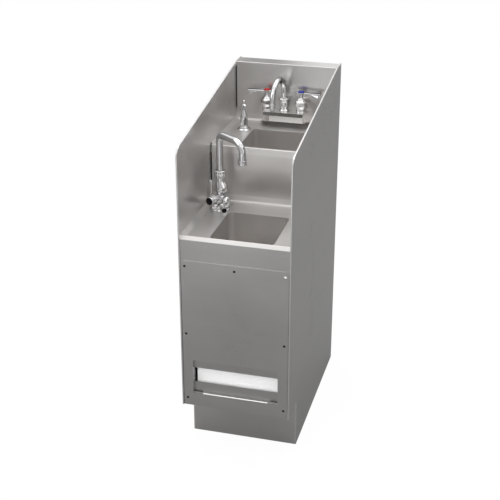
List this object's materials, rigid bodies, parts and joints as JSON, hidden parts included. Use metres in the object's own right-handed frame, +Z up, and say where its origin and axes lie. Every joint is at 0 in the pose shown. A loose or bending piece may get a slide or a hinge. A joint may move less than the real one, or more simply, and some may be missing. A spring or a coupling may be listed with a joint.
{
  "type": "bar sink",
  "caption": "Narrow free-standing stainless steel underbar sink with a low dump sink, a raised hand sink, side splashes, faucets, a soap dispenser and a towel slot.",
  "frame": {"origin": "on the floor, at the centre of the bounding box in plan", "axes": "+X to the right as seen from the front, +Y to the back against the wall, +Z up"},
  "size_m": [0.3048, 0.6096, 0.981],
  "materials": {
    "stainless_panel": "brushed, satin",
    "stainless_deck": "brushed, satin",
    "stainless_bowl": "satin",
    "zinc_steel": "zinc plated",
    "drain_steel": "polished",
    "faucet_chrome": "polished",
    "fitting_brass": "machined",
    "screw_steel": "dull",
    "blue_index": "gloss",
    "red_index": "gloss",
    "black_index": "gloss",
    "towel_paper": "matt paper",
    "bottle_plastic": "matt",
    "tail_copper": "drawn tube"
  },
  "bodies": {
    "station": {"access_panel": "stainless_panel", "back_splash": "stainless_panel", "base_rails": "zinc_steel", "bottom_shelf": "stainless_panel", "faucet_shelf": "stainless_panel", "front_apron": "stainless_panel", "front_stiles": "stainless_panel", "inlet_locknuts": "fitting_brass", "left_side_panel": "stainless_panel", "levelling_feet": "zinc_steel", "lower_bowl": "stainless_bowl", "lower_deck": "stainless_deck", "lower_faucet_body": "faucet_chrome", "lower_faucet_flange": "faucet_chrome", "lower_inlet_tails": "tail_copper", "lower_shank_nut": "zinc_steel", "lower_spout_nut": "faucet_chrome", "lower_strainer": "drain_steel", "lower_strainer_nut": "fitting_brass", "lower_tailpiece": "faucet_chrome", "panel_screws": "screw_steel", "paper_towels": "towel_paper", "rear_rails": "stainless_panel", "right_side_panel": "stainless_panel", "riser_panel": "stainless_panel", "shelf_edges": "stainless_panel", "soap_body": "faucet_chrome", "soap_bottle": "bottle_plastic", "soap_flange": "faucet_chrome", "soap_shank_nut": "zinc_steel", "toe_kick": "stainless_panel", "towel_box": "zinc_steel", "towel_insert": "stainless_panel", "upper_bowl": "stainless_bowl", "upper_deck": "stainless_deck", "upper_faucet_body": "fitting_brass", "upper_inlets": "fitting_brass", "upper_left_bonnet": "faucet_chrome", "upper_right_bonnet": "faucet_chrome", "upper_spout_hub": "faucet_chrome", "upper_strainer": "drain_steel", "upper_strainer_nut": "fitting_brass", "upper_tailpiece": "faucet_chrome"},
    "upper_left_lever": {"upper_left_handle": "faucet_chrome", "upper_left_index": "red_index"},
    "upper_right_lever": {"upper_right_handle": "faucet_chrome", "upper_right_index": "blue_index"},
    "upper_swing_spout": {"upper_spout": "faucet_chrome", "upper_aerator": "faucet_chrome"},
    "lower_swing_spout": {"lower_spout": "faucet_chrome", "lower_aerator": "faucet_chrome"},
    "lower_valve_lever": {"lower_lever": "faucet_chrome", "lower_lever_index": "black_index"},
    "lower_valve_knob": {"lower_knob": "faucet_chrome", "lower_knob_cap": "black_index"},
    "soap_pump": {"soap_pump_head": "faucet_chrome"},
    "lower_lift_basket": {"lower_basket": "drain_steel"},
    "upper_lift_basket": {"upper_basket": "drain_steel"}
  },
  "joints": [
    {"name": "upper_left_handle_turn", "type": "hinge", "parent": "station", "child": "upper_left_lever", "pos_m": [-0.0508, 0.2313, 0.8995], "axis": [0, 0, 1], "range_deg": [0, 90]},
    {"name": "upper_right_handle_turn", "type": "hinge", "parent": "station", "child": "upper_right_lever", "pos_m": [0.0508, 0.2313, 0.8995], "axis": [0, 0, 1], "range_deg": [-90, 0]},
    {"name": "upper_spout_swing", "type": "hinge", "parent": "station", "child": "upper_swing_spout", "pos_m": [0, 0.2313, 0.8685], "axis": [0, 0, 1], "range_deg": [-60, 60]},
    {"name": "lower_spout_swing", "type": "hinge", "parent": "station", "child": "lower_swing_spout", "pos_m": [-0.1054, -0.0728, 0.741], "axis": [0, 0, 1], "range_deg": [-55, 60]},
    {"name": "lower_lever_turn", "type": "hinge", "parent": "station", "child": "lower_valve_lever", "pos_m": [-0.11782, -0.10691, 0.686], "axis": [-0.342, -0.9397, 0], "range_deg": [-90, 0]},
    {"name": "lower_knob_turn", "type": "hinge", "parent": "station", "child": "lower_valve_knob", "pos_m": [-0.09164, -0.0998, 0.665], "axis": [0.454, -0.891, 0], "range_deg": [0, 180]},
    {"name": "soap_pump_press", "type": "slide", "parent": "station", "child": "soap_pump", "axis": [0, 0, 1], "range_m": [-0.006, 0], "stiffness_N_per_m": 400, "springref_m": 0.004},
    {"name": "lower_basket_lift", "type": "slide", "parent": "station", "child": "lower_lift_basket", "axis": [0, 0, 1], "range_m": [0, 0.06]},
    {"name": "upper_basket_lift", "type": "slide", "parent": "station", "child": "upper_lift_basket", "axis": [0, 0, 1], "range_m": [0, 0.06]}
  ]
}
